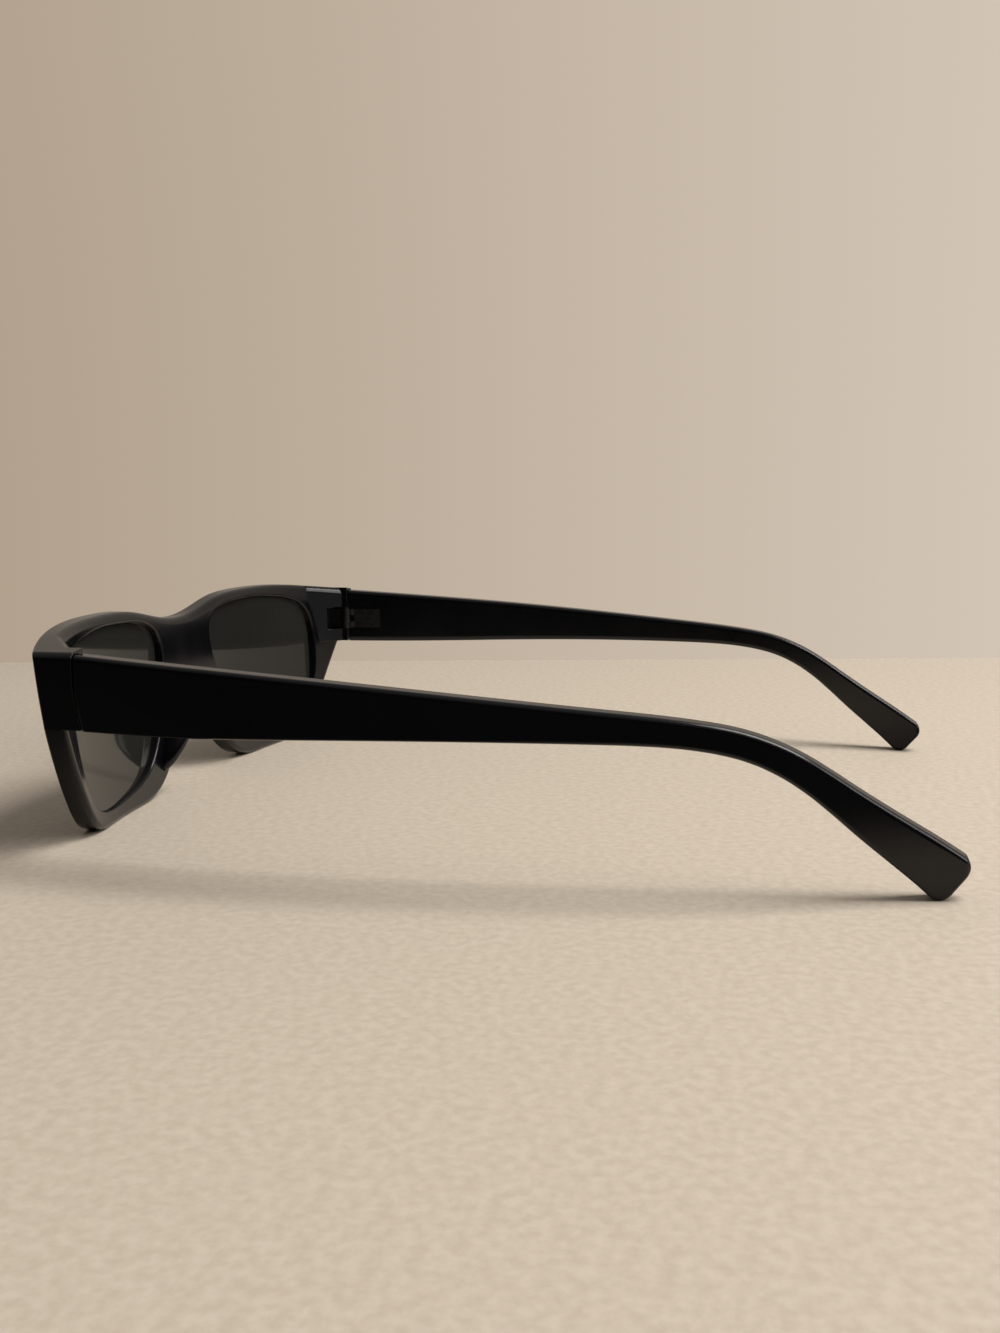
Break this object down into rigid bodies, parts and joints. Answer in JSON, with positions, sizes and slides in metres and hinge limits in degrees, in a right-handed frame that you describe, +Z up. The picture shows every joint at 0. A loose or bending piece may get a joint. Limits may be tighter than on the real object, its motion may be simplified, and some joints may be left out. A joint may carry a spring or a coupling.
{
  "type": "sunglasses",
  "caption": "Narrow rectangle acetate sunglasses with wrapped front, dark lenses, bonded nose pads and bowed temples on three-barrel hinges.",
  "frame": {"origin": "middle of the bounding box seen from above, on the floor that the rims and temple tips stand on", "axes": "+X is the wearer's left, -Y is the way the wearer looks, +Z is up; the temples run back along +Y"},
  "size_m": [0.1432, 0.1562, 0.0371],
  "materials": {
    "black_acetate": "polished near-black acetate",
    "dark_lens": "dark grey-green tinted lens, polished",
    "hinge_steel": "gunmetal plated, satin",
    "core_steel": "drawn strip, satin"
  },
  "bodies": {
    "front": {"front_frame": "black_acetate", "left_lens": "dark_lens", "right_lens": "dark_lens", "left_nose_pad": "black_acetate", "right_nose_pad": "black_acetate", "left_front_hinge_leaf": "hinge_steel", "right_front_hinge_leaf": "hinge_steel"},
    "left_arm": {"left_temple": "black_acetate", "left_core_wire": "core_steel", "left_temple_hinge_leaf": "hinge_steel", "left_hinge_screw": "hinge_steel"},
    "right_arm": {"right_temple": "black_acetate", "right_core_wire": "core_steel", "right_temple_hinge_leaf": "hinge_steel", "right_hinge_screw": "hinge_steel"}
  },
  "joints": [
    {"name": "left_temple_fold", "type": "hinge", "parent": "front", "child": "left_arm", "pos_m": [0.06365, -0.0603, 0.0273], "axis": [0, 0, 1], "range_deg": [0, 89]},
    {"name": "right_temple_fold", "type": "hinge", "parent": "front", "child": "right_arm", "pos_m": [-0.06365, -0.0603, 0.0273], "axis": [0, 0, -1], "range_deg": [0, 84.5]}
  ]
}
